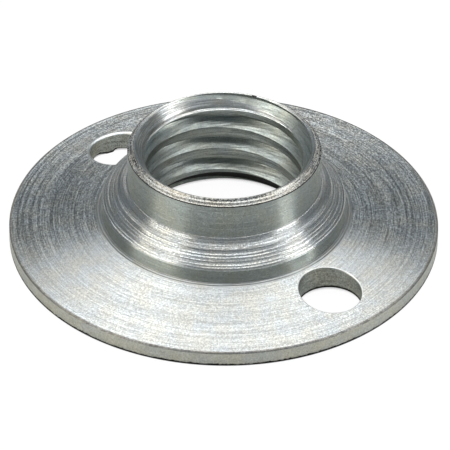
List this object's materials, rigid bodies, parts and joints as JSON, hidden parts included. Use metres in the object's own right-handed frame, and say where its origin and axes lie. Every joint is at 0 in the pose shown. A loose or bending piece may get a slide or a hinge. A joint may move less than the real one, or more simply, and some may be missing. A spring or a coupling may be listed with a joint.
{
  "type": "flange nut",
  "caption": "Low round flange nut with a flared boss, a coarse through thread and two pin-spanner holes in its flange.",
  "frame": {"origin": "centre of the standing ring's face on the underside, on the thread's axis", "axes": "+Z along the thread's axis, up towards the lip; +X through the middle of the first pin hole"},
  "size_m": [0.038, 0.038, 0.0098],
  "materials": {
    "plated_steel": "turned steel with bright zinc plating, tool marks left in the flange and neck"
  },
  "bodies": {
    "root": {"flange_nut": "plated_steel"}
  },
  "joints": []
}
